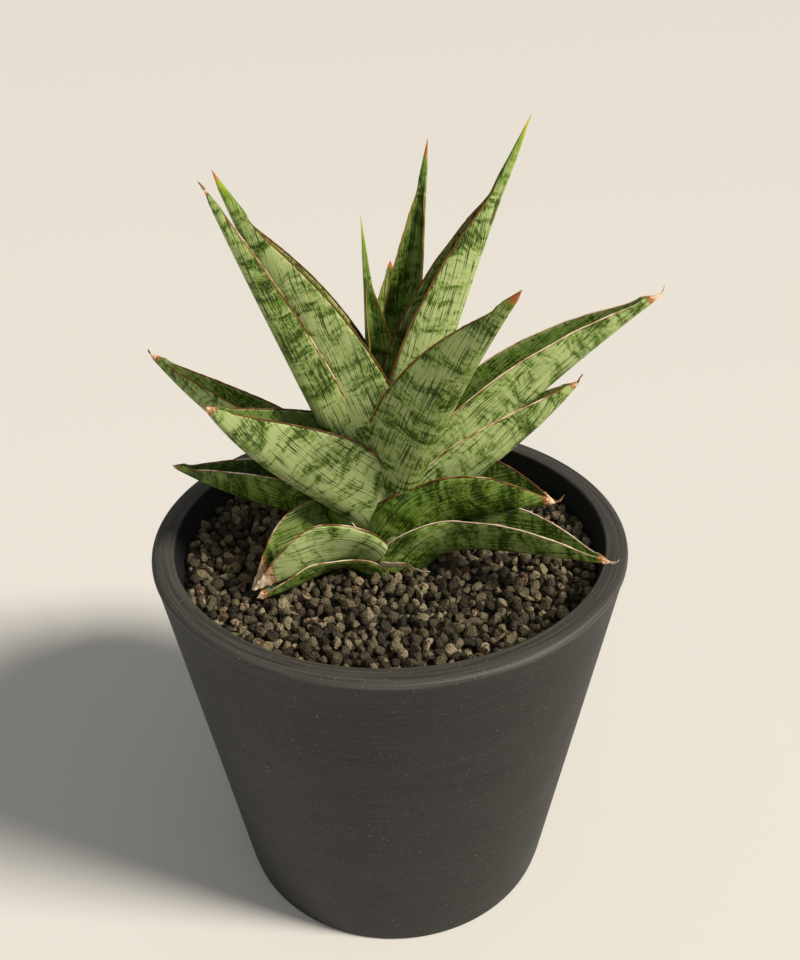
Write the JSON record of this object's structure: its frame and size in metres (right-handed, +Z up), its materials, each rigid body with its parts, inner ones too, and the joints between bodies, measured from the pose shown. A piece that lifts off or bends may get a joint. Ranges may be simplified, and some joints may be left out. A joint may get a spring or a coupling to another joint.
{
  "type": "potted snake plant",
  "caption": "Snake plant with a rosette of folded, mottled, pointed leaves, rooted in volcanic grit in a tapered round charcoal pot.",
  "frame": {"origin": "centre of the pot's flat underside, on the pot's axis", "axes": "+Z up the pot's axis; -Y is the front, the side the low front leaves point to; +X to the right seen from the front"},
  "size_m": [0.1544, 0.1496, 0.255],
  "materials": {
    "pot": "satin, fine turned lines",
    "drain_mesh": "matt",
    "grit": "rough, dry",
    "rhizome": "matt, fibrous",
    "root": "matt",
    "leaf": "waxy, slightly glossy, mottled"
  },
  "bodies": {
    "root": {"drain_mesh_1": "drain_mesh", "drain_mesh_2": "drain_mesh", "drain_mesh_3": "drain_mesh", "drain_mesh_4": "drain_mesh", "grit_bed": "grit", "leaf_back_low_left": "leaf", "leaf_back_low_right": "leaf", "leaf_back_mid": "leaf", "leaf_back_tall": "leaf", "leaf_front_left_broad": "leaf", "leaf_front_left_low": "leaf", "leaf_front_left_lowest": "leaf", "leaf_front_right_low": "leaf", "leaf_front_right_upper": "leaf", "leaf_front_upright": "leaf", "leaf_left_low": "leaf", "leaf_left_mid": "leaf", "leaf_left_tall": "leaf", "leaf_left_tall_outer": "leaf", "leaf_right_long": "leaf", "leaf_right_outer": "leaf", "leaf_right_tall": "leaf", "leaf_spear": "leaf", "pot": "pot", "rhizome": "rhizome", "root_1": "root", "root_2": "root", "root_3": "root", "root_4": "root", "root_5": "root", "root_6": "root", "root_7": "root", "root_8": "root"}
  },
  "joints": []
}
